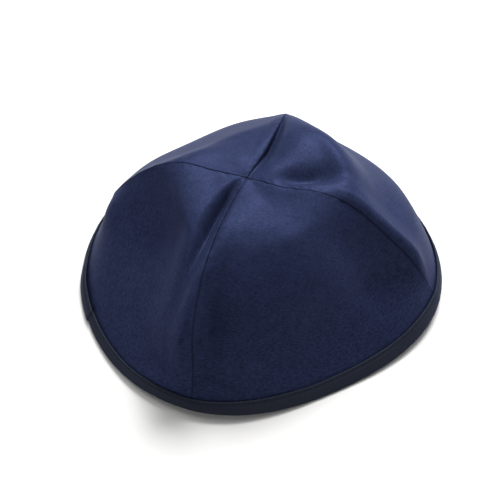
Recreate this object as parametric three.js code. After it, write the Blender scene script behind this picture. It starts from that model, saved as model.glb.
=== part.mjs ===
// A satin skullcap of four sewn panels, with a folded binding round its rim.
// Millimetres, +Z up. The cap rests on its rim with the hollow for the head open below,
// and the origin lies on the surface under the middle of the cap's box.
import * as THREE from 'three';

// Cloth and sewing
const WALL = 1.2; // a panel's cloth with the seam allowances pressed under it
const SEAM_GAP = 0.3; // between two panels along their seam
const CHANNEL_GAP = 0.4; // between a panel and the binding's legs, each side
const BINDING_HEIGHT = 6.5; // from the fold to the binding's upper edges
const BINDING_LEG = 0.9; // one leg of the folded strip
const BINDING_FOLD = 1.6; // cloth below the channel, where the strip turns under the rim
const BINDING_ROUND = 0.4; // rounding of the legs' upper edges
const BINDING_HEEL = 1.0; // height at which the legs turn into the fold

// The cap's form
const CROWN_AT = { x: -6.1, y: -5.36 }; // where the four seams cross, from the middle of the box
const PANEL_TURN = Math.PI / 2; // each panel spans a quarter turn
const FOCUS_HEIGHT = 0; // the point on the crown's axis from which the wall's thickness is laid off

// Cross-sections by share of the way from the crown to the rim, with a value for each panel in turn.
// Roundness 0 is a square with its corners on the seams and 1 is a round, dome raises the middle of a panel,
// and lean raises its first half and lowers its second.
const SECTIONS = [
  {
    share: 0, height: 64, roundness: [0, 0, 0, 0],
    dome: [0, 0, 0, 0], lean: [0, 0, 0, 0],
  },
  {
    share: 0.2, height: 64, roundness: [0.05, 0.3, 0.1, 0.2],
    dome: [2.25, 1.5, 0, -1.25], lean: [-0.25, 0.5, -0.25, 0.75],
  },
  {
    share: 0.4, height: 64, roundness: [0.65, 0.5, 0.65, 0.85],
    dome: [3.75, -0.5, -0.5, -1.25], lean: [-3, 0, -0.5, 0.5],
  },
  {
    share: 0.55, height: 58, roundness: [0.55, 0.2, 0.05, 0.65],
    dome: [9, 0.5, -1, 0.5], lean: [-0.75, 1.75, -1.75, 0.25],
  },
  {
    share: 0.7, height: 45, roundness: [0.65, 0.95, 0.15, 0.7],
    dome: [3.75, -1.25, -5, 0], lean: [1, 0.5, -1.5, 1.25],
  },
  {
    share: 0.85, height: 27.5, roundness: [1, 0.95, 0.75, 0.55],
    dome: [2, 2, -6, -1.5], lean: [2, -1.25, 2.5, 1.5],
  },
  {
    share: 1, height: 0, roundness: [1, 1, 1, 1],
    dome: [0, 0, 0, 0], lean: [0, 0, 0, 0],
  },
];

// Seams in turn: reach is from the crown's axis to the rim, lift is how far the rim's corner stands
// off the surface, bow and swing move the seam sideways at its middle and at the rim, raise lifts the
// middle of the seam, and tuck draws the wall in above the binding.
const SEAMS = [
  { name: 'right', reach: 91.5, lift: 3, bow: -3.4, swing: 6.4, raise: 3.4, tuck: 0 },
  { name: 'back', reach: 94.4, lift: 0, bow: -4.7, swing: 8.2, raise: -3.9, tuck: 0 },
  { name: 'left', reach: 79.3, lift: 0, bow: 0.6, swing: -2.7, raise: 0.7, tuck: 0.6 },
  { name: 'front', reach: 83.8, lift: 3, bow: -3.6, swing: 0.8, raise: -4.9, tuck: 1 },
];
const TUCK_FROM = 0.7; // the share of the way down at which a tuck begins

// Panels in turn, each from its own seam to the next: fullness swells or flattens its middle at the rim.
const PANELS = [
  { name: 'panel_back_right', fullness: -0.01 },
  { name: 'panel_back_left', fullness: -0.13 },
  { name: 'panel_left', fullness: -0.015 },
  { name: 'panel_front', fullness: -0.075 },
];

// Soft folds of the cloth along a seam, raised or, with a negative height, hollow. Off and drift are the
// distances of a fold's middle from the seam at its upper and lower end, counted anticlockwise. Before and
// after are its half widths on its clockwise and its anticlockwise side, and from and to are the shares of
// the way down between which it runs.
const FOLDS = [
  { seam: 'front', off: 7, drift: -21, before: 5.2, after: 5.1, height: 6.2, from: 0.19, to: 1.7 },
  { seam: 'front', off: -3.5, drift: -7.5, before: 3.4, after: 3.2, height: -7.2, from: -0.07, to: 0.79 },
  { seam: 'front', off: -14, drift: -11.5, before: 12.9, after: 12.4, height: 6.4, from: 0.38, to: 1.16 },
  { seam: 'front', off: 43, drift: 47, before: 17, after: 16.2, height: 4.3, from: 0.3, to: 1.18 },
  { seam: 'front', off: 0.5, drift: 4, before: 1.6, after: 8.7, height: -3.5, from: 0.31, to: 1.3 },
  { seam: 'right', off: 0.5, drift: 20, before: 3.6, after: 6.5, height: -5.6, from: 0.1, to: 0.61 },
  { seam: 'right', off: 8.5, drift: 0.5, before: 5.2, after: 7.2, height: 2.4, from: 0.02, to: 1.75 },
  { seam: 'right', off: 2.5, drift: 0, before: 1.8, after: 5, height: 2.5, from: 0.24, to: 1.6 },
  { seam: 'right', off: -8, drift: -26.5, before: 18.6, after: 18.3, height: -6.9, from: 0.12, to: 1.66 },
  { seam: 'back', off: -1, drift: -0.5, before: 3, after: 0.8, height: -2.8, from: 0.01, to: 0.62 },
  { seam: 'back', off: -4, drift: -5, before: 14, after: 12, height: 3.2, from: 0.27, to: 1.16 },
  { seam: 'back', off: 1.5, drift: 2.5, before: 4.1, after: 4.6, height: 0.6, from: -0.17, to: 0.73 },
  { seam: 'left', off: 29.5, drift: 50.5, before: 18.7, after: 17.8, height: -5, from: 0.27, to: 1.17 },
  { seam: 'left', off: 2.5, drift: 1, before: 6.7, after: 6.7, height: -0.8, from: 0.09, to: 1.9 },
  { seam: 'left', off: 4.5, drift: 11.5, before: 10.9, after: 10.1, height: 4.3, from: 0.49, to: 1.25 },
];
const FOLDS_END = { from: 0.8, to: 0.95 }; // shares down between which the binding smooths the folds away

// Looks
const SATIN = { color: 0x2a3257, roughness: 0.42, metalness: 0 };
const BINDING_SATIN = { color: 0x232a3a, roughness: 0.5, metalness: 0 };

// Mesh steps
const ROWS = 22; // down a panel, the last two of them inside the binding
const COLUMNS = 22; // across a panel
const CROWDING = 0.6; // how far the columns draw together at the seams, where the folds are
const SLOPE_STEP = 0.004; // step in share and in width for reading the slope of the surface

// A smooth curve through one value of each section: each slope leans to the nearer neighbour's chord.
function sectionCurve(valueOf, share, firstSlope) {
  const last = SECTIONS.length - 1;
  const value = (row) => valueOf(SECTIONS[row]);
  const step = (row) => SECTIONS[row + 1].share - SECTIONS[row].share;
  const chord = (row) => (value(row + 1) - value(row)) / step(row);
  const innerSlope = (row) =>
    (chord(row - 1) * step(row) + chord(row) * step(row - 1)) / (step(row - 1) + step(row));
  const slope = (row) => {
    if (row === 0) return firstSlope ?? chord(0);
    if (row === last) return 2 * chord(last - 1) - innerSlope(last - 1);
    return innerSlope(row);
  };
  let row = 0;
  while (row < last - 1 && share >= SECTIONS[row + 1].share) row += 1;
  const length = step(row);
  const s = (share - SECTIONS[row].share) / length;
  const start = 2 * s ** 3 - 3 * s ** 2 + 1;
  const leave = s ** 3 - 2 * s ** 2 + s;
  const arrive = s ** 3 - s ** 2;
  const bend = length * (slope(row) * leave + slope(row + 1) * arrive);
  return value(row) * start + value(row + 1) * (1 - start) + bend;
}

// The two seams of a panel, with the bearing of the first.
function seamsOf(index) {
  return {
    first: SEAMS[index],
    second: SEAMS[(index + 1) % SEAMS.length],
    bearing: index * PANEL_TURN,
  };
}

// The height of the folds at a point of a panel: a bell across each fold and a sine squared along it. A fold
// reaches over its seam into both panels beside it, and fades towards their other seams.
function foldHeight(index, share, across) {
  const { first, second } = seamsOf(index);
  let height = 0;
  for (const fold of FOLDS) {
    if (fold.seam !== first.name && fold.seam !== second.name) continue;
    const ahead = fold.seam === first.name;
    const part = ahead ? across : 1 - across;
    const distance = part * share * PANEL_TURN * (ahead ? first.reach : -second.reach);
    const along = THREE.MathUtils.clamp((share - fold.from) / (fold.to - fold.from), 0, 1);
    const middle = THREE.MathUtils.lerp(fold.off, fold.drift, along);
    const away = distance - middle;
    const bell = Math.exp(-((away / (away < 0 ? fold.before : fold.after)) ** 2));
    height += fold.height * bell * Math.sin(Math.PI * along) ** 2 * Math.cos(part * PANEL_TURN) ** 2;
  }
  return height * (1 - THREE.MathUtils.smoothstep(share, FOLDS_END.from, FOLDS_END.to));
}

// A point of a panel's outer face: share runs from the crown to the rim, across from its first seam
// to its second. The plan lies between a straight chord and a round, the seams' sideways moves, lifts and
// raises fade into each other across the panel, and the folds stand out from or sink into all that.
function outerPoint(index, share, across) {
  const { first, second, bearing } = seamsOf(index);
  const turn = across * PANEL_TURN;
  const fade = (1 + Math.cos(Math.PI * across)) / 2;
  const roundness = THREE.MathUtils.clamp(sectionCurve((row) => row.roundness[index], share), 0, 1);
  const chord = 1 / (Math.cos(turn) / first.reach + Math.sin(turn) / second.reach);
  const swell = 1 + PANELS[index].fullness * Math.sin(Math.PI * across) ** 2;
  const round = (first.reach * fade + second.reach * (1 - fade)) * swell;
  const part = THREE.MathUtils.clamp((share - TUCK_FROM) / (1 - TUCK_FROM), 0, 1);
  const tuckAlong = (27 / 4) * part ** 2 * (1 - part); // 1 where it is deepest
  const tuck = (first.tuck * fade + second.tuck * (1 - fade)) * tuckAlong;
  const radius = share * THREE.MathUtils.lerp(chord, round, roundness) - tuck;
  const aside = (seam) => seam.bow * 4 * share * (1 - share) + seam.swing * share ** 2;
  const firstAside = aside(first) * fade;
  const secondAside = aside(second) * (1 - fade);
  const corner = Math.cos(Math.PI * across) ** 2;
  const lift = (across < 0.5 ? first.lift : second.lift) * corner * share ** 3;
  const raise = (first.raise * fade + second.raise * (1 - fade)) * Math.sin(Math.PI * share) ** 2;
  const dome = sectionCurve((row) => row.dome[index], share, 0) * Math.sin(Math.PI * across);
  const lean = sectionCurve((row) => row.lean[index], share, 0) * Math.sin(2 * Math.PI * across);
  const point = new THREE.Vector3(
    radius * Math.cos(bearing + turn) - firstAside * Math.sin(bearing) - secondAside * Math.cos(bearing),
    radius * Math.sin(bearing + turn) + firstAside * Math.cos(bearing) - secondAside * Math.sin(bearing),
    sectionCurve((row) => row.height, share, 0) + lift + raise + dome + lean,
  );
  return point.addScaledVector(inwardAt(point), -foldHeight(index, share, across));
}

// The direction in which thickness is laid off, towards the focus on the crown's axis. The panels on
// both sides of a seam share it, so their cut edges lie in one surface and never cross.
function inwardAt(point) {
  return new THREE.Vector3(0, 0, FOCUS_HEIGHT).sub(point).normalize();
}

// The outward normal of a panel's outer face, from its slopes down and across.
function outwardAt(index, share, across) {
  const low = Math.max(share, 2 * SLOPE_STEP);
  const down = outerPoint(index, Math.min(low + SLOPE_STEP, 1), across);
  down.sub(outerPoint(index, low - SLOPE_STEP, across));
  const over = outerPoint(index, low, Math.min(across + SLOPE_STEP, 1));
  over.sub(outerPoint(index, low, Math.max(across - SLOPE_STEP, 0)));
  return down.cross(over).normalize();
}

// The inner face lies a wall's thickness under the outer one.
function innerPoint(index, share, across) {
  const point = outerPoint(index, share, across);
  const inward = inwardAt(point);
  const slant = Math.abs(inward.dot(outwardAt(index, share, across)));
  return point.addScaledVector(inward, WALL / slant);
}

// How far across its panel a column lies, closest together at the seams.
function acrossAt(column) {
  const even = column / COLUMNS;
  return THREE.MathUtils.lerp(even, (1 - Math.cos(Math.PI * even)) / 2, CROWDING);
}

// The share of the way down at a height up the wall from the rim's fold.
function shareAtHeight(index, across, height) {
  const near = 1 - BINDING_HEIGHT / SEAMS[index].reach;
  const length = outerPoint(index, 1, across).distanceTo(outerPoint(index, near, across));
  return 1 - (height * (1 - near)) / length;
}

// How far down its panel a row lies: evenly as far as the binding's upper edge, then at the binding's middle
// height, and last at the panel's lower edge in the binding's channel.
function shareAtRow(index, across, row) {
  const evenRows = ROWS - 2;
  if (row <= evenRows) return (shareAtHeight(index, across, BINDING_HEIGHT) * row) / evenRows;
  return shareAtHeight(index, across, row < ROWS ? BINDING_HEIGHT / 2 : BINDING_FOLD + CHANNEL_GAP);
}

// A closed body from its corner points and triangles, moved into the cap's frame.
function solid(points, triangles) {
  const geometry = new THREE.BufferGeometry().setFromPoints(points);
  geometry.setIndex(triangles);
  geometry.translate(CROWN_AT.x, CROWN_AT.y, 0);
  geometry.computeVertexNormals();
  return geometry;
}

// A panel: its outer and inner faces fan out from the tip at the crown, and strips close its two seam
// edges and its lower edge, which ends inside the binding. It stands off its neighbours by the seam gap.
function panelGeometry(index) {
  const middle = (index + 0.5) * PANEL_TURN;
  const off = (SEAM_GAP / 2) * Math.SQRT2;
  const standOff = new THREE.Vector3(Math.cos(middle) * off, Math.sin(middle) * off, 0);
  const points = [];
  const layer = (pointAt) => {
    const tip = points.length;
    points.push(pointAt(index, 0, 0.5).add(standOff));
    for (let row = 1; row <= ROWS; row += 1) {
      for (let column = 0; column <= COLUMNS; column += 1) {
        const across = acrossAt(column);
        points.push(pointAt(index, shareAtRow(index, across, row), across).add(standOff));
      }
    }
    return (row, column) => (row === 0 ? tip : tip + 1 + (row - 1) * (COLUMNS + 1) + column);
  };
  const outer = layer(outerPoint);
  const inner = layer(innerPoint);
  const triangles = [];
  const quad = (a, b, c, d) => {
    if (a !== b) triangles.push(a, c, b);
    if (c !== d) triangles.push(b, c, d);
  };
  for (let row = 0; row < ROWS; row += 1) {
    for (let column = 0; column < COLUMNS; column += 1) {
      const next = column + 1;
      quad(outer(row, column), outer(row, next), outer(row + 1, column), outer(row + 1, next));
      quad(inner(row, next), inner(row, column), inner(row + 1, next), inner(row + 1, column));
    }
    quad(inner(row, 0), outer(row, 0), inner(row + 1, 0), outer(row + 1, 0));
    quad(outer(row, COLUMNS), inner(row, COLUMNS), outer(row + 1, COLUMNS), inner(row + 1, COLUMNS));
  }
  for (let column = 0; column < COLUMNS; column += 1) {
    const next = column + 1;
    quad(outer(ROWS, column), outer(ROWS, next), inner(ROWS, column), inner(ROWS, next));
  }
  return solid(points, triangles);
}

// The binding's section: a folded strip, open upwards, as distances out from the cloth's outer face
// and heights up the wall from the fold.
function bindingSection() {
  const channelOut = CHANNEL_GAP;
  const channelIn = -WALL - CHANNEL_GAP;
  const out = channelOut + BINDING_LEG;
  const back = channelIn - BINDING_LEG;
  const shoulder = BINDING_HEIGHT - BINDING_ROUND;
  const middle = BINDING_HEIGHT / 2;
  return [
    { off: (out + back) / 2, height: 0 },
    { off: out - BINDING_HEEL / 2, height: BINDING_HEEL / 4 },
    { off: out, height: BINDING_HEEL },
    { off: out, height: middle },
    { off: out, height: shoulder },
    { off: channelOut + BINDING_LEG / 2, height: BINDING_HEIGHT },
    { off: channelOut, height: shoulder },
    { off: channelOut, height: middle },
    { off: channelOut, height: BINDING_FOLD },
    { off: channelIn, height: BINDING_FOLD },
    { off: channelIn, height: middle },
    { off: channelIn, height: shoulder },
    { off: channelIn - BINDING_LEG / 2, height: BINDING_HEIGHT },
    { off: back, height: shoulder },
    { off: back, height: middle },
    { off: back, height: BINDING_HEEL },
    { off: back + BINDING_HEEL / 2, height: BINDING_HEEL / 4 },
  ];
}

// The binding: the section carried round the rim, lying on the wall's own surface, and flattened where
// it would reach below the surface that the cap rests on.
function bindingGeometry() {
  const section = bindingSection();
  const points = [];
  for (let index = 0; index < PANELS.length; index += 1) {
    for (let column = 0; column < COLUMNS; column += 1) {
      const across = acrossAt(column);
      for (const { off, height } of section) {
        const share = shareAtHeight(index, across, height);
        const point = outerPoint(index, share, across);
        point.addScaledVector(outwardAt(index, share, across), off);
        point.z = Math.max(point.z, 0);
        points.push(point);
      }
    }
  }
  const stations = PANELS.length * COLUMNS;
  const size = section.length;
  const triangles = [];
  for (let station = 0; station < stations; station += 1) {
    const next = (station + 1) % stations;
    for (let corner = 0; corner < size; corner += 1) {
      const after = (corner + 1) % size;
      const a = station * size + corner;
      const b = station * size + after;
      const c = next * size + corner;
      const d = next * size + after;
      triangles.push(a, c, b, b, c, d);
    }
  }
  return solid(points, triangles);
}

function piece(name, geometry, look) {
  const mesh = new THREE.Mesh(geometry, new THREE.MeshStandardMaterial(look));
  mesh.name = name;
  return mesh;
}

const skullcap = new THREE.Group();
PANELS.forEach(({ name }, index) => skullcap.add(piece(name, panelGeometry(index), SATIN)));
skullcap.add(piece('rim_binding', bindingGeometry(), BINDING_SATIN));

export default skullcap;
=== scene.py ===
import bpy
import numpy as np
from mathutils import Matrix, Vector


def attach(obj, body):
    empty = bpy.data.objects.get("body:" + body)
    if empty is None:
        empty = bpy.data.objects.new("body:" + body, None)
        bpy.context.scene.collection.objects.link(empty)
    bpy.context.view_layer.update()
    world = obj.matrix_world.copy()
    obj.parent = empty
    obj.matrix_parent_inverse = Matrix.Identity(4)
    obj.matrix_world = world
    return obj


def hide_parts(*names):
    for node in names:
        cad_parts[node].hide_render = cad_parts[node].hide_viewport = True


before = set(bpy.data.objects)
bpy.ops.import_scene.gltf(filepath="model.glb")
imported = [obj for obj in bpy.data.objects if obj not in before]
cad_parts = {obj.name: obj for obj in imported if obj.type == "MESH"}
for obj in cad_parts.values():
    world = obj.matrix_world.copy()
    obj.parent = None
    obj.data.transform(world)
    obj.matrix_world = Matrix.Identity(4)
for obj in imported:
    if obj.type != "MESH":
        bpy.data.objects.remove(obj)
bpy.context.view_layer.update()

# A satin skullcap of four sewn panels with a folded binding round its rim.
# Sizes are millimetres until a mesh is made, and colours are linear.
MM = 0.001
QUARTER = np.pi / 2

# Cloth and sewing
WALL = 1.2  # a panel's cloth with the seam allowances pressed under it
SEAM_GAP = 0.05  # between two panels at the bottom of their seam
SEAM_DEPTH = 0.14  # how far the cloth turns in at a seam
SEAM_WIDTH = 0.25  # how wide that turn is
ALLOWANCE = 7.0  # width of the seam allowances on the inside
ALLOWANCE_THICKNESS = 0.45
ALLOWANCE_SLOPE = 0.8  # the share of its width at which it begins to thin out
ALLOWANCE_END = (0.85, 0.93)  # shares of the way down between which it goes into the binding
CHANNEL_GAP = 0.4  # between a panel and the binding's legs
BINDING_HEIGHT = 6.5
BINDING_FOLD = 1.6  # cloth below the channel

# The cap's form: where the seams cross, and the cross-sections from the crown to the rim. Roundness 0 is a
# square with its corners on the seams and 1 is a round. Dome raises the middle of a panel, and lean raises
# its first half and lowers its second. Each of the three has one value a panel, in the panels' order.
CROWN_AT = np.array([-6.1, -5.36, 0.0])
SECTIONS = [
    dict(share=0.0, height=64, roundness=(0, 0, 0, 0),
         dome=(0, 0, 0, 0), lean=(0, 0, 0, 0)),
    dict(share=0.2, height=64, roundness=(0.05, 0.3, 0.1, 0.2),
         dome=(2.25, 1.5, 0, -1.25), lean=(-0.25, 0.5, -0.25, 0.75)),
    dict(share=0.4, height=64, roundness=(0.65, 0.5, 0.65, 0.85),
         dome=(3.75, -0.5, -0.5, -1.25), lean=(-3, 0, -0.5, 0.5)),
    dict(share=0.55, height=58, roundness=(0.55, 0.2, 0.05, 0.65),
         dome=(9, 0.5, -1, 0.5), lean=(-0.75, 1.75, -1.75, 0.25)),
    dict(share=0.7, height=45, roundness=(0.65, 0.95, 0.15, 0.7),
         dome=(3.75, -1.25, -5, 0), lean=(1, 0.5, -1.5, 1.25)),
    dict(share=0.85, height=27.5, roundness=(1, 0.95, 0.75, 0.55),
         dome=(2, 2, -6, -1.5), lean=(2, -1.25, 2.5, 1.5)),
    dict(share=1.0, height=0, roundness=(1, 1, 1, 1),
         dome=(0, 0, 0, 0), lean=(0, 0, 0, 0)),
]
SHARES = np.array([row["share"] for row in SECTIONS])
HEIGHTS = np.array([row["height"] for row in SECTIONS])
ROUNDNESS = np.array([row["roundness"] for row in SECTIONS]).T
DOMES = np.array([row["dome"] for row in SECTIONS]).T
LEANS = np.array([row["lean"] for row in SECTIONS]).T

# Seams in turn, each a quarter turn on from the one before. Reach is the seam's length on plan and lift is
# how far its end stands off the floor. Bow is its sideways bend, swing the sideways move of its end, rise
# the height added half way down, and tuck how far it draws in above the binding.
SEAM_NAMES = ["right", "back", "left", "front"]
SEAMS = {
    "right": dict(reach=91.5, lift=3, bow=-3.4, swing=6.4, rise=3.4, tuck=0),
    "back": dict(reach=94.4, lift=0, bow=-4.7, swing=8.2, rise=-3.9, tuck=0),
    "left": dict(reach=79.3, lift=0, bow=0.6, swing=-2.7, rise=0.7, tuck=0.6),
    "front": dict(reach=83.8, lift=3, bow=-3.6, swing=0.8, rise=-4.9, tuck=1),
}
TUCK_FROM = 0.7  # the share of the way down at which a tuck begins

# Panels in turn, each from its own seam to the next, with the swell of its middle
PANELS = [
    dict(node="panel_back_right", fullness=-0.01),
    dict(node="panel_back_left", fullness=-0.13),
    dict(node="panel_left", fullness=-0.015),
    dict(node="panel_front", fullness=-0.075),
]

# Soft folds of the cloth along a seam, raised or, with a negative height, hollow. Off and drift are the
# distances of a fold's middle from the seam at its upper and lower end, counted anticlockwise. Before and
# after are its half widths on its clockwise and its anticlockwise side, and start and end are the shares of
# the way down between which it runs.
FOLDS = [
    dict(seam="front", off=7, drift=-21, before=5.2, after=5.1, height=6.2, start=0.19, end=1.7),
    dict(seam="front", off=-3.5, drift=-7.5, before=3.4, after=3.2, height=-7.2, start=-0.07, end=0.79),
    dict(seam="front", off=-14, drift=-11.5, before=12.9, after=12.4, height=6.4, start=0.38, end=1.16),
    dict(seam="front", off=43, drift=47, before=17, after=16.2, height=4.3, start=0.3, end=1.18),
    dict(seam="front", off=0.5, drift=4, before=1.6, after=8.7, height=-3.5, start=0.31, end=1.3),
    dict(seam="right", off=0.5, drift=20, before=3.6, after=6.5, height=-5.6, start=0.1, end=0.61),
    dict(seam="right", off=8.5, drift=0.5, before=5.2, after=7.2, height=2.4, start=0.02, end=1.75),
    dict(seam="right", off=2.5, drift=0, before=1.8, after=5, height=2.5, start=0.24, end=1.6),
    dict(seam="right", off=-8, drift=-26.5, before=18.6, after=18.3, height=-6.9, start=0.12, end=1.66),
    dict(seam="back", off=-1, drift=-0.5, before=3, after=0.8, height=-2.8, start=0.01, end=0.62),
    dict(seam="back", off=-4, drift=-5, before=14, after=12, height=3.2, start=0.27, end=1.16),
    dict(seam="back", off=1.5, drift=2.5, before=4.1, after=4.6, height=0.6, start=-0.17, end=0.73),
    dict(seam="left", off=29.5, drift=50.5, before=18.7, after=17.8, height=-5, start=0.27, end=1.17),
    dict(seam="left", off=2.5, drift=1, before=6.7, after=6.7, height=-0.8, start=0.09, end=1.9),
    dict(seam="left", off=4.5, drift=11.5, before=10.9, after=10.1, height=4.3, start=0.49, end=1.25),
]
FOLDS_END = (0.8, 0.95)  # shares of the way down between which the binding smooths the folds away

# Where the seam allowances lie under one of the two panels, they raise a strip along the seam. It is level
# from the seam to its top and ends at its foot. It begins at the share start, has its whole height from the
# share whole on, and fades out at the shares of SEWING_END.
STRIPS = [
    dict(node="panel_left", side="front", height=0.15, top=2.5, foot=7, start=0.02, whole=0.12),
    dict(node="panel_back_right", side="right", height=0.4, top=3.5, foot=6.5, start=0.3, whole=0.6),
    dict(node="panel_back_left", side="back", height=0.25, top=2.5, foot=7, start=0.02, whole=0.12),
    dict(node="panel_back_left", side="left", height=0.15, top=2.5, foot=7, start=0.02, whole=0.12),
]
SEWING_END = (0.8, 0.93)  # between these the strips and puckers fade out, above the binding

# At a crease the cloth of one panel sinks under the turned edge of its neighbour, deepest at the seam and
# half way between the shares start and end
CREASES = [
    dict(node="panel_back_right", side="back", depth=1.2, width=2.8, start=-0.05, end=0.62),
    dict(node="panel_front", side="front", depth=0.4, width=1.2, start=0.02, end=0.7),
]

# The sewing draws the cloth in where the four seams cross, and puckers it a little along each seam
PINCH_DEPTH = 0.5
PINCH_WIDTH = 2.2
PUCKERS = [
    dict(pitch=4.3, height=0.045),
    dict(pitch=7.1, height=0.06),
]
PUCKER_WIDTH = 2.6  # how far they reach from the seam

# The binding's two ends lap on the left: where the lap starts and stops, and the length of its slope at
# each, counted in panels round the rim, and how far it stands out and up. The strip's width and thickness
# also vary a little, in waves round the rim: their count, where they begin in radians, and how far they
# move its upper edge up and its faces out.
LAP = dict(start=2.15, ramp=0.15, stop=2.45, edge=0.006, rise=0.8, taller=0.4)
BINDING_WAVES = [
    dict(count=1, turn=0.3, height=0.5, off=0.0),
    dict(count=2, turn=2.1, height=0.6, off=0.0),
    dict(count=5, turn=1.0, height=0.15, off=0.08),
    dict(count=11, turn=2.0, height=0.1, off=0.06),
    dict(count=23, turn=0.5, height=0.05, off=0.04),
]

# Stitches that hold the binding down, in a row outside and one inside
STITCH_PITCH = 2.7
STITCH_LENGTH = 2.0
STITCH_RADIUS = 0.2
STITCH_DROP = 1.3  # below the binding's upper edge
STITCH_ARCH = dict(crown=0.6, sink=1.4)  # its middle's height and the fall to its ends, in radii
STITCH_FACES = {"outside": 1.08, "inside": -2.45}  # the binding's faces, out from the wall's outer face

# Mesh steps
PANEL_ROWS = 180
PANEL_COLUMNS = 150
BINDING_STATIONS = 900
RIM_STEPS = 400
STITCH_STEPS = 7
STITCH_SIDES = 8

# Camera, from the photograph's own perspective: angles in degrees, places in metres, lens in millimetres
VIEW_AZIMUTH = 17.1
VIEW_ELEVATION = 47.4
VIEW_DISTANCE = 0.483
VIEW_HEIGHT = 0.025
VIEW_LENS = 74.7
VIEW_SENSOR = 36
VIEW_NEAR = 0.01
VIEW_SHIFT = (0.0066, -0.025)

# Square lights, aimed at the cap: name, place in metres, power in watts
LIGHTS = [
    ("overhead_panel", (0.0, 0.0, 1.6), 4),
    ("back_panel", (0.0, 1.03, 1.23), 65),
    ("right_panel", (1.1, 1.0, 0.45), 14),
    ("left_panel", (-1.0, 0.2, 1.2), 7),
    ("left_fill", (-1.1, -1.0, 0.3), 9.5),
    ("right_fill", (1.0, -1.0, 0.4), 6.5),
]
LIGHT_SIDE = 0.9  # metres
SURROUND = 0.02  # strength of the even light from all round


def smooth_through(values, share, first_slope=None):
    """A smooth curve through one value a section: cubic between neighbouring sections, each inner slope
    the mean of the chords beside it, weighted to the nearer one."""
    step = np.diff(SHARES)
    chord = np.diff(values) / step
    slope = np.empty(len(values))
    slope[1:-1] = (chord[:-1] * step[1:] + chord[1:] * step[:-1]) / (step[1:] + step[:-1])
    slope[0] = chord[0] if first_slope is None else first_slope
    slope[-1] = 2 * chord[-1] - slope[-2]
    row = np.clip(np.searchsorted(SHARES, share, side="right") - 1, 0, len(step) - 1)
    s = (share - SHARES[row]) / step[row]
    start = 2 * s**3 - 3 * s**2 + 1
    bend = slope[row] * (s**3 - 2 * s**2 + s) + slope[row + 1] * (s**3 - s**2)
    return values[row] * start + values[row + 1] * (1 - start) + step[row] * bend


def smooth_step(low, high, value):
    """0 below low, 1 above high, and an even S between them."""
    s = np.clip((value - low) / (high - low), 0, 1)
    return s * s * (3 - 2 * s)


def seams_of(index):
    """The names of a panel's first and second seam."""
    return SEAM_NAMES[index], SEAM_NAMES[(index + 1) % len(SEAM_NAMES)]


def seam_distance(index, side, share, across):
    """The distance from a seam along the cloth: the part of the panel's quarter turn times its radius."""
    part = across if side == seams_of(index)[0] else 1 - across
    return part * share * SEAMS[side]["reach"] * QUARTER


def inward(points):
    """Unit directions towards the foot of the crown's axis."""
    return -points / np.linalg.norm(points, axis=-1, keepdims=True)


def fold_height(index, share, across):
    """The height of the soft folds: a bell across each about its slanting middle, and a sine squared along
    it. A fold reaches over its seam into both panels beside it, and fades towards their other seams."""
    first, second = seams_of(index)
    height = np.zeros(np.broadcast(share, across).shape)
    for row in FOLDS:
        if row["seam"] not in (first, second):
            continue
        part = across if row["seam"] == first else 1 - across
        side = 1 if row["seam"] == first else -1
        along = np.clip((share - row["start"]) / (row["end"] - row["start"]), 0, 1)
        off = side * seam_distance(index, row["seam"], share, across)
        away = off - row["off"] - (row["drift"] - row["off"]) * along
        bell = np.exp(-((away / np.where(away < 0, row["before"], row["after"])) ** 2))
        height += row["height"] * bell * np.sin(np.pi * along) ** 2 * np.cos(part * QUARTER) ** 2
    return height * (1 - smooth_step(*FOLDS_END, share))


def cap_form(index, share, across):
    """The cap's outer form on one panel. Share runs from the crown to the rim and across from the first
    seam to the second. The plan lies between the straight chord of the seams and a round, the height
    follows the sections, the seams' sideways moves, lifts and rises fade into each other, and the folds
    stand out from or sink into all that."""
    first, second = (SEAMS[name] for name in seams_of(index))
    bearing = index * QUARTER
    turn = across * QUARTER
    fade = (1 + np.cos(np.pi * across)) / 2
    roundness = np.clip(smooth_through(ROUNDNESS[index], share), 0, 1)
    chord = 1 / (np.cos(turn) / first["reach"] + np.sin(turn) / second["reach"])
    swell = 1 + PANELS[index]["fullness"] * np.sin(np.pi * across) ** 2
    whole = (first["reach"] * fade + second["reach"] * (1 - fade)) * swell
    part = np.clip((share - TUCK_FROM) / (1 - TUCK_FROM), 0, 1)
    tuck_along = 27 / 4 * part**2 * (1 - part)  # 1 where it is deepest
    tuck = (first["tuck"] * fade + second["tuck"] * (1 - fade)) * tuck_along
    radius = share * (chord + (whole - chord) * roundness) - tuck
    aside = [seam["bow"] * 4 * share * (1 - share) + seam["swing"] * share**2 for seam in (first, second)]
    aside_first = aside[0] * fade
    aside_second = aside[1] * (1 - fade)
    x = radius * np.cos(bearing + turn) - aside_first * np.sin(bearing) - aside_second * np.cos(bearing)
    y = radius * np.sin(bearing + turn) + aside_first * np.cos(bearing) - aside_second * np.sin(bearing)
    corner = np.cos(np.pi * across) ** 2
    lift = np.where(across < 0.5, first["lift"], second["lift"]) * corner * share**3
    rise = (first["rise"] * fade + second["rise"] * (1 - fade)) * np.sin(np.pi * share) ** 2
    dome = smooth_through(DOMES[index], share, 0.0) * np.sin(np.pi * across)
    lean = smooth_through(LEANS[index], share, 0.0) * np.sin(2 * np.pi * across)
    points = np.stack([x, y, smooth_through(HEIGHTS, share, 0.0) + lift + rise + dome + lean], axis=-1)
    return points - inward(points) * fold_height(index, share, across)[..., None]


def grid_normals(points):
    """Outward unit normals of a grid whose rows run down and whose columns run anticlockwise."""
    down = np.gradient(points, axis=0)
    over = np.gradient(points, axis=1)
    normals = np.cross(down, over)
    return normals / np.linalg.norm(normals, axis=-1, keepdims=True)


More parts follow.
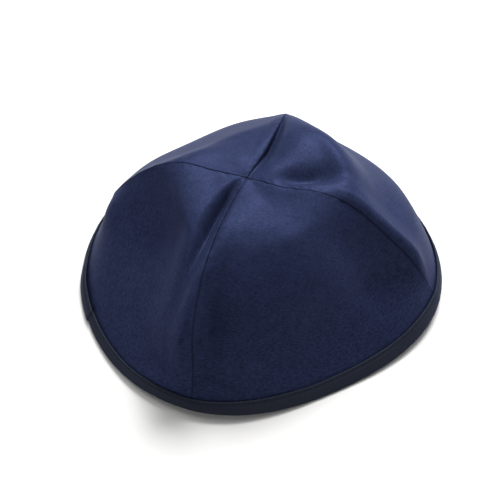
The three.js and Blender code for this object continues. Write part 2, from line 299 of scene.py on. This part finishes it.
def share_at_height(index, across, height):
    """The share of the way down at a height up the wall from the rim's fold."""
    near = 1 - BINDING_HEIGHT / SEAMS[seams_of(index)[0]]["reach"]
    rim = cap_form(index, np.ones_like(across), across)
    length = np.linalg.norm(rim - cap_form(index, np.full_like(across, near), across), axis=-1)
    return 1 - height * (1 - near) / length


def make_mesh(name, points, faces, flat_cloth, marks):
    """A mesh object from arrays: points in the cap's own millimetres, groups of faces with one corner
    count each, the cloth's flat coordinates in metres as the UV map, and named values a point."""
    mesh = bpy.data.meshes.new(name)
    corners = np.concatenate([group.ravel() for group in faces])
    counts = np.concatenate([np.full(len(group), group.shape[1]) for group in faces])
    mesh.vertices.add(len(points))
    mesh.vertices.foreach_set("co", ((points + CROWN_AT) * MM).astype(np.float32).ravel())
    mesh.loops.add(len(corners))
    mesh.loops.foreach_set("vertex_index", corners.astype(np.int32))
    mesh.polygons.add(len(counts))
    mesh.polygons.foreach_set("loop_start", (np.cumsum(counts) - counts).astype(np.int32))
    mesh.polygons.foreach_set("use_smooth", np.ones(len(counts), bool))
    uv = mesh.uv_layers.new(name="flat_cloth")
    uv.data.foreach_set("uv", flat_cloth[corners].astype(np.float32).ravel())
    for label, values in marks.items():
        mark = mesh.attributes.new(label, "FLOAT", "POINT")
        mark.data.foreach_set("value", values.astype(np.float32))
    mesh.update()
    mesh.validate()
    piece = bpy.data.objects.new(name, mesh)
    bpy.context.scene.collection.objects.link(piece)
    return piece


def quads(top_left, top_right, bottom_left, bottom_right):
    """Faces of four corners from index arrays, turned to face out."""
    return np.stack([a.ravel() for a in (top_left, bottom_left, bottom_right, top_right)], axis=1)


def grid_quads(index):
    """Faces between the neighbouring rows and columns of a grid of indices."""
    return quads(index[:-1, :-1], index[:-1, 1:], index[1:, :-1], index[1:, 1:])


def relief(index, share, across):
    """The sewing's own relief on the outer face: the cloth turns in at both seams as a bell, is raised in a
    strip over the seam allowances, sinks at the creases, puckers in sine waves along the seams, and is
    drawn in as a bell about the crown."""
    height = np.zeros(np.broadcast(share, across).shape)
    for side in seams_of(index):
        distance = seam_distance(index, side, share, across)
        height -= SEAM_DEPTH * np.exp(-((distance / SEAM_WIDTH) ** 2))
    for row in STRIPS:
        if row["node"] == PANELS[index]["node"]:
            distance = seam_distance(index, row["side"], share, across)
            along = smooth_step(row["start"], row["whole"], share) * (1 - smooth_step(*SEWING_END, share))
            height += row["height"] * along * (1 - smooth_step(row["top"], row["foot"], distance))
    height = np.maximum(height, -SEAM_DEPTH)
    for row in CREASES:
        if row["node"] == PANELS[index]["node"]:
            distance = seam_distance(index, row["side"], share, across)
            along = np.clip((share - row["start"]) / (row["end"] - row["start"]), 0, 1)
            height -= row["depth"] * np.sin(np.pi * along) * np.exp(-((distance / row["width"]) ** 2))
    for side in seams_of(index):
        reach = SEAMS[side]["reach"]
        near = np.exp(-((seam_distance(index, side, share, across) / PUCKER_WIDTH) ** 2))
        near = near * (1 - smooth_step(*SEWING_END, share))
        for row in PUCKERS:
            height += row["height"] * near * np.sin(2 * np.pi * share * reach / row["pitch"] + index)
    from_crown = share * SEAMS[seams_of(index)[0]]["reach"]
    return height - PINCH_DEPTH * np.exp(-((from_crown / PINCH_WIDTH) ** 2))


def panel_piece(index):
    """One panel as a thin closed wall: a grid of rows down and columns across, closest together at the
    seams, with its inner face a wall's thickness in, and strips that close its edges."""
    across = (1 - np.cos(np.pi * np.linspace(0, 1, PANEL_COLUMNS + 1))) / 2
    end = share_at_height(index, across, BINDING_FOLD + CHANNEL_GAP)
    share = np.linspace(0, 1, PANEL_ROWS + 1)[1:, None] * end[None, :]
    across = np.broadcast_to(across, share.shape)
    form = cap_form(index, share, across)
    into = inward(form)
    slant = np.abs((into * grid_normals(form)).sum(-1, keepdims=True))
    outer = form - into * relief(index, share, across)[..., None]
    seam_near = np.min([seam_distance(index, side, share, across) for side in seams_of(index)], axis=0)
    turned = 1 - smooth_step(ALLOWANCE_SLOPE * ALLOWANCE, ALLOWANCE, seam_near)
    turned = turned * (1 - smooth_step(*ALLOWANCE_END, share))
    inner = form + into * (WALL / slant + ALLOWANCE_THICKNESS * turned[..., None])
    middle = (index + 0.5) * QUARTER
    stand_off = SEAM_GAP / 2 * np.sqrt(2) * np.array([np.cos(middle), np.sin(middle), 0])
    top = HEIGHTS[0] - SEAM_DEPTH - PINCH_DEPTH
    tip = np.array([[0, 0, top], [0, 0, HEIGHTS[0] - WALL - ALLOWANCE_THICKNESS]])
    points = np.concatenate([tip, outer.reshape(-1, 3), inner.reshape(-1, 3)]) + stand_off

    size = share.size
    out = 2 + np.arange(size).reshape(share.shape)
    back = out + size
    fan_out = np.stack([np.zeros(PANEL_COLUMNS, int), out[0, :-1], out[0, 1:]], axis=1)
    fan_back = np.stack([np.ones(PANEL_COLUMNS, int), back[0, 1:], back[0, :-1]], axis=1)
    tip_sides = np.array([[0, 1, back[0, 0], out[0, 0]], [1, 0, out[0, -1], back[0, -1]]])
    edges = [
        quads(back[:-1, 0], out[:-1, 0], back[1:, 0], out[1:, 0]),
        quads(out[:-1, -1], back[:-1, -1], out[1:, -1], back[1:, -1]),
        quads(out[-1, :-1], out[-1, 1:], back[-1, :-1], back[-1, 1:]),
    ]
    faces = [grid_quads(out), grid_quads(back)[:, ::-1], fan_out, fan_back, tip_sides, *edges]

    reach = SEAMS[seams_of(index)[0]]["reach"]
    flat = np.stack([(across - 0.5) * share * reach * QUARTER, share * reach], axis=-1).reshape(-1, 2) * MM
    flat = np.concatenate([np.zeros((2, 2)), flat, flat])
    # The seam mark is 1 at the seams and fades away from them: the material paints shade in the seams'
    # grooves by it
    near = np.exp(-(seam_near / SEAM_WIDTH) ** 2).ravel()
    marks = {
        "seam": np.concatenate([[1, 1], near, near]),
        "reverse": np.concatenate([[0, 1], np.zeros(size), np.ones(size)]),
    }
    return make_mesh(PANELS[index]["node"].replace("panel_", "") + "_panel", points, faces, flat, marks)


# The binding's section: distance out from the wall's outer face, and height up the wall from the fold
BINDING_SECTION = np.array([
    [-0.6, 0.0], [0.3, 0.1], [0.9, 0.45], [1.25, 1.1], [1.4, 2.2], [1.45, 3.4], [1.4, 4.5], [1.08, 5.2],
    [1.3, 5.75], [1.25, 6.2], [0.95, 6.5], [0.6, 6.45], [0.42, 6.0], [0.4, 4.5], [0.4, 2.6], [0.35, 1.65],
    [-1.5, 1.65], [-1.6, 2.6], [-1.6, 4.5], [-1.62, 6.0], [-1.8, 6.45], [-2.15, 6.5], [-2.4, 6.2],
    [-2.48, 5.6], [-2.45, 5.0], [-2.5, 4.2], [-2.52, 3.0], [-2.45, 1.6], [-2.2, 0.7], [-1.6, 0.15],
])
SECTION_STEPS = 3


def smooth_loop(points, steps):
    """A closed smooth curve through points: cubic, with each slope half the span of its neighbours."""
    s = (np.arange(steps) / steps)[None, :, None]
    start = points[:, None]
    stop = np.roll(points, -1, axis=0)[:, None]
    slope = (np.roll(points, -1, axis=0) - np.roll(points, 1, axis=0)) / 2
    leave = slope[:, None]
    arrive = np.roll(slope, -1, axis=0)[:, None]
    curve = start * (2 * s**3 - 3 * s**2 + 1) + stop * (3 * s**2 - 2 * s**3)
    curve = curve + leave * (s**3 - 2 * s**2 + s) + arrive * (s**3 - s**2)
    return curve.reshape(-1, points.shape[1])


def on_wall(turns, off, height):
    """Points beside the wall near the rim: turns counts panels round the rim, height is up the wall from
    the fold, and off is out along the wall's normal. Nothing reaches below the floor."""
    turns, off, height = np.broadcast_arrays(turns, off, height)
    result = np.empty(turns.shape + (3,))
    step = 0.002
    for index in range(len(PANELS)):
        here = np.floor(turns).astype(int) % len(PANELS) == index
        across = turns[here] % 1
        share = share_at_height(index, across, height[here])
        point = cap_form(index, share, across)
        down = cap_form(index, share + step, across) - cap_form(index, share - step, across)
        over = cap_form(index, share, across + step) - cap_form(index, share, across - step)
        out = np.cross(down, over)
        result[here] = point + off[here][:, None] * out / np.linalg.norm(out, axis=-1, keepdims=True)
    result[..., 2] = np.maximum(result[..., 2], 0)
    return result


def binding_wall(turns, off, height):
    """Points of the binding: the wall near the rim, with the lap standing out and the waves of the strip."""
    lap = smooth_step(LAP["start"], LAP["start"] + LAP["ramp"], turns)
    lap = lap * (1 - smooth_step(LAP["stop"] - LAP["edge"], LAP["stop"], turns))
    outside = np.sign(off + WALL / 2)
    up = height / BINDING_HEIGHT
    out = np.where(outside > 0, lap * LAP["rise"], 0)
    taller = LAP["taller"] * lap * up
    for wave in BINDING_WAVES:
        swing = np.sin(wave["count"] * turns * QUARTER + wave["turn"])
        out = out + outside * wave["off"] * swing * np.minimum(up * 2, 1)
        taller = taller + wave["height"] * swing * up
    return on_wall(turns, off + out, height + taller)


def binding_piece():
    """The binding: the folded strip's section carried round the rim on the wall's own surface."""
    section = smooth_loop(BINDING_SECTION, SECTION_STEPS)
    turns = np.arange(BINDING_STATIONS) / BINDING_STATIONS * len(PANELS)
    rings = binding_wall(turns[:, None], section[None, :, 0], section[None, :, 1])
    stations, corners = rings.shape[:2]
    index = np.arange(stations * corners).reshape(stations, corners)
    index = np.concatenate([index, index[:1]])
    index = np.concatenate([index, index[:, :1]], axis=1)
    girth = np.cumsum(np.linalg.norm(np.diff(section, axis=0, prepend=section[:1]), axis=1)) * MM
    along = np.cumsum(np.linalg.norm(np.diff(rings[:, 0], axis=0, prepend=rings[:1, 0]), axis=1)) * MM
    flat = np.stack(np.broadcast_arrays(girth[None, :], along[:, None]), axis=-1).reshape(-1, 2)
    return make_mesh("binding", rings.reshape(-1, 3), [grid_quads(index)], flat, {})


def stitches_piece():
    """The binding's stitches, outside and inside: short round bars that rise from the strip's face and sink
    into it again. Each is a grid of a ring round its middle line for every step along it."""
    rim = on_wall(np.linspace(0, len(PANELS), RIM_STEPS, endpoint=False), 0.0, BINDING_HEIGHT)
    length = np.linalg.norm(np.roll(rim, -1, axis=0) - rim, axis=1).sum()
    count = int(length / STITCH_PITCH)
    steps = np.linspace(0, 1, STITCH_STEPS)
    angles = np.linspace(0, 2 * np.pi, STITCH_SIDES, endpoint=False)
    rise = STITCH_RADIUS * (STITCH_ARCH["crown"] - STITCH_ARCH["sink"] * (2 * steps - 1) ** 4)
    points = []
    for face in STITCH_FACES.values():
        outside = np.sign(face)
        first = np.arange(count)[:, None] + steps[None, :] * STITCH_LENGTH / STITCH_PITCH
        turns = (first / count * len(PANELS)) % len(PANELS)
        height = np.full_like(turns, BINDING_HEIGHT - STITCH_DROP)
        line = binding_wall(turns, face + outside * rise[None, :], height)
        up = binding_wall(turns, face + outside * (rise[None, :] + 1), height) - line
        up = up / np.linalg.norm(up, axis=-1, keepdims=True)
        along = np.gradient(line, axis=1)
        side = np.cross(along, up)
        side = side / np.linalg.norm(side, axis=-1, keepdims=True)
        ring = np.cos(angles)[:, None] * side[:, :, None] + np.sin(angles)[:, None] * up[:, :, None]
        points.append(line[:, :, None] + STITCH_RADIUS * ring)
    points = np.concatenate(points)
    bars, rows, around = points.shape[:3]
    index = np.arange(rows * around).reshape(rows, around)
    index = np.concatenate([index, index[:, :1]], axis=1)
    bar = grid_quads(index)
    ends = np.stack([np.arange(around)[::-1], (rows - 1) * around + np.arange(around)])
    shift = (np.arange(bars) * rows * around)[:, None, None]
    faces = [(bar[None] + shift).reshape(-1, 4), (ends[None] + shift).reshape(-1, around)]
    flat = points.reshape(-1, 3)[:, :2] * MM
    return make_mesh("binding_stitches", points.reshape(-1, 3), faces, flat, {})


# Finishes: linear colours of the threads, of the gaps between them, and of the cloth's reverse
NAVY = dict(
    thread=(0.0185, 0.025, 0.063),
    deep=(0.0092, 0.0124, 0.0312),
    reverse=(0.010, 0.013, 0.029),
)
DARK_NAVY = dict(
    thread=(0.018, 0.0208, 0.031),
    deep=(0.014, 0.0165, 0.0245),
    reverse=(0.014, 0.0165, 0.0245),
)
NAVY_ROUGHNESS = 0.48
DARK_NAVY_ROUGHNESS = 0.5
REVERSE_ROUGHNESS = 0.75
ROUGHNESS_SWING = 0.08  # the threads are smoother than the gaps by twice this
SEAM_PAINTED_SHADE = 0.85  # painted shade in the seams' grooves, as a share of the deep colour
FLOAT_SCALE = (2800, 700, 1)  # spots a metre, across the cloth and down it
PICK_SCALE = (500, 2800, 1)
PICK_SHARE = 0.6  # of the picks in the weave, and the floats have the rest
PATCH_SCALE = 220.0  # broad patches a metre
PATCH_SHARE = 0.2
TONE_RANGE = (0.36, 0.64)  # weave values that give the deep and the thread colour
RELIEF_STRENGTH = 0.4
RELIEF_DEPTH = 0.00015  # metres
SHINE = {
    "Specular IOR Level": 0.02,
    "Specular Tint": (0.3, 0.4, 0.8, 1),
    "Metallic": 0.15,
    "Sheen Weight": 0.012,
    "Sheen Roughness": 0.5,
    "Sheen Tint": (0.45, 0.58, 1.0, 1),
}
FLOOR_WHITE = (0.57, 0.567, 0.561, 1)
FLOOR_ROUGHNESS = 0.9
FLOOR_HALF = 3.0  # metres

# Places of the two colour inputs and of the colour output in a mix node's lists
MIX_FIRST = 6
MIX_SECOND = 7
MIX_RESULT = 2


def add(tree, kind, inputs=None, **settings):
    """A node with its settings, and its inputs set to values or joined to other nodes' outputs."""
    node = tree.nodes.new(kind)
    for name, value in settings.items():
        setattr(node, name, value)
    for name, value in (inputs or {}).items():
        if isinstance(value, bpy.types.NodeSocket):
            tree.links.new(value, node.inputs[name])
        else:
            node.inputs[name].default_value = value
    return node


def mix_colours(tree, factor, first, second):
    """The output of a mix of two colours: the first at factor 0, and the second at 1."""
    inputs = {"Factor": factor, MIX_FIRST: first, MIX_SECOND: second}
    return add(tree, "ShaderNodeMix", inputs, data_type="RGBA").outputs[MIX_RESULT]


def satin_threads_group():
    """Fine floats of thread down the cloth and longer picks across it, from the cloth's flat coordinates.
    Weave is low in the gaps and high on the threads, and varies about a half."""
    group = bpy.data.node_groups.new("Satin threads", "ShaderNodeTree")
    group.interface.new_socket("Flat cloth", in_out="INPUT", socket_type="NodeSocketVector")
    group.interface.new_socket("Weave", in_out="OUTPUT", socket_type="NodeSocketFloat")
    source = add(group, "NodeGroupInput").outputs["Flat cloth"]
    floats = add(group, "ShaderNodeMapping", {"Vector": source, "Scale": FLOAT_SCALE})
    picks = add(group, "ShaderNodeMapping", {"Vector": source, "Scale": PICK_SCALE})
    long = add(group, "ShaderNodeTexNoise", {"Vector": floats.outputs[0], "Scale": 1.0, "Detail": 1.0})
    cross = add(group, "ShaderNodeTexNoise", {"Vector": picks.outputs[0], "Scale": 1.0, "Detail": 1.0})
    weave = add(group, "ShaderNodeMix", {
        "Factor": PICK_SHARE, "A": long.outputs["Fac"], "B": cross.outputs["Fac"]})
    add(group, "NodeGroupOutput", {"Weave": weave.outputs["Result"]})
    return group


def cloth_material(name, threads, colours, roughness):
    """Woven satin: a deep and a lighter tone mixed by the threads and by broad soft patches, painted shade
    in the seams' grooves, duller on the reverse, with the threads as fine relief."""
    material = bpy.data.materials.new(name)
    material.use_nodes = True
    tree = material.node_tree
    shader = tree.nodes["Principled BSDF"]
    flat = add(tree, "ShaderNodeUVMap", uv_map="flat_cloth").outputs["UV"]
    weave = add(tree, "ShaderNodeGroup", {"Flat cloth": flat}, node_tree=threads).outputs["Weave"]
    place = add(tree, "ShaderNodeTexCoord").outputs["Object"]
    patches = add(tree, "ShaderNodeTexNoise", {"Vector": place, "Scale": PATCH_SCALE, "Detail": 3.0})
    blend = add(tree, "ShaderNodeMix", {"Factor": PATCH_SHARE, "A": weave, "B": patches.outputs["Fac"]})
    spread = add(tree, "ShaderNodeMapRange", {
        "Value": blend.outputs["Result"], "From Min": TONE_RANGE[0], "From Max": TONE_RANGE[1]})
    deep = np.array(colours["deep"])
    tone = mix_colours(tree, spread.outputs["Result"], (*deep, 1), (*colours["thread"], 1))
    # Painted shade: the seam mark darkens the colour in the seams' grooves
    seam = add(tree, "ShaderNodeAttribute", attribute_name="seam").outputs["Fac"]
    face = mix_colours(tree, seam, tone, (*(SEAM_PAINTED_SHADE * deep), 1))
    side = add(tree, "ShaderNodeAttribute", attribute_name="reverse").outputs["Fac"]
    both = mix_colours(tree, side, face, (*colours["reverse"], 1))
    tree.links.new(both, shader.inputs["Base Color"])
    gloss = add(tree, "ShaderNodeMapRange", {
        "Value": weave, "To Min": roughness + ROUGHNESS_SWING, "To Max": roughness - ROUGHNESS_SWING})
    dull = add(tree, "ShaderNodeMix", {
        "Factor": side, "A": gloss.outputs["Result"], "B": REVERSE_ROUGHNESS})
    tree.links.new(dull.outputs["Result"], shader.inputs["Roughness"])
    bump = add(tree, "ShaderNodeBump", {
        "Height": weave, "Strength": RELIEF_STRENGTH, "Distance": RELIEF_DEPTH})
    tree.links.new(bump.outputs["Normal"], shader.inputs["Normal"])
    for socket, value in SHINE.items():
        shader.inputs[socket].default_value = value
    return material


THREADS = satin_threads_group()
SATIN = cloth_material("navy_satin", THREADS, NAVY, NAVY_ROUGHNESS)
BINDING_SATIN = cloth_material("binding_satin", THREADS, DARK_NAVY, DARK_NAVY_ROUGHNESS)


def dress(piece, material, node):
    """Gives a piece its finish, and puts it in the place of its CAD node."""
    piece.data.materials.append(material)
    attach(piece, "root")
    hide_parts(node)


binding = binding_piece()
dress(binding, BINDING_SATIN, "rim_binding")
stitches = stitches_piece()
stitches.data.materials.append(BINDING_SATIN)
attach(stitches, "root")
for number, row in enumerate(PANELS):
    panel = panel_piece(number)
    dress(panel, SATIN, row["node"])


def stage():
    """A pale floor, wide soft panels of light above, behind and to both sides, two low fills in front, and
    an even surround."""
    scene = bpy.context.scene
    mesh = bpy.data.meshes.new("floor")
    corners = [(-1, -1), (1, -1), (1, 1), (-1, 1)]
    mesh.from_pydata([(x * FLOOR_HALF, y * FLOOR_HALF, 0) for x, y in corners], [], [(0, 1, 2, 3)])
    floor = bpy.data.objects.new("floor", mesh)
    scene.collection.objects.link(floor)
    paint = bpy.data.materials.new("floor_white")
    paint.use_nodes = True
    shader = paint.node_tree.nodes["Principled BSDF"]
    shader.inputs["Base Color"].default_value = FLOOR_WHITE
    shader.inputs["Roughness"].default_value = FLOOR_ROUGHNESS
    mesh.materials.append(paint)

    for name, place, power in LIGHTS:
        lamp = bpy.data.lights.new(name, "AREA")
        lamp.shape = "SQUARE"
        lamp.size = LIGHT_SIDE
        lamp.energy = power
        light = bpy.data.objects.new(name, lamp)
        light.location = place
        light.rotation_euler = (-Vector(place)).to_track_quat("-Z", "Y").to_euler()
        scene.collection.objects.link(light)

    world = bpy.data.worlds.new("surround")
    world.use_nodes = True
    world.node_tree.nodes["Background"].inputs["Color"].default_value = (1, 1, 1, 1)
    world.node_tree.nodes["Background"].inputs["Strength"].default_value = SURROUND
    scene.world = world
    scene.view_settings.view_transform = "Standard"


def camera():
    """The camera at the photograph's angle, aimed at the crown's axis."""
    azimuth, elevation = np.radians([VIEW_AZIMUTH, VIEW_ELEVATION])
    level = np.cos(elevation)
    back = Vector((np.sin(azimuth) * level, -np.cos(azimuth) * level, np.sin(elevation)))
    lens = bpy.data.cameras.new("camera")
    lens.sensor_width = VIEW_SENSOR
    lens.lens = VIEW_LENS
    lens.shift_x, lens.shift_y = VIEW_SHIFT
    lens.clip_start = VIEW_NEAR
    view = bpy.data.objects.new("camera", lens)
    view.location = Vector((*(CROWN_AT[:2] * MM), VIEW_HEIGHT)) + back * VIEW_DISTANCE
    view.rotation_euler = (-back).to_track_quat("-Z", "Y").to_euler()
    bpy.context.scene.collection.objects.link(view)
    bpy.context.scene.camera = view


stage()
camera()
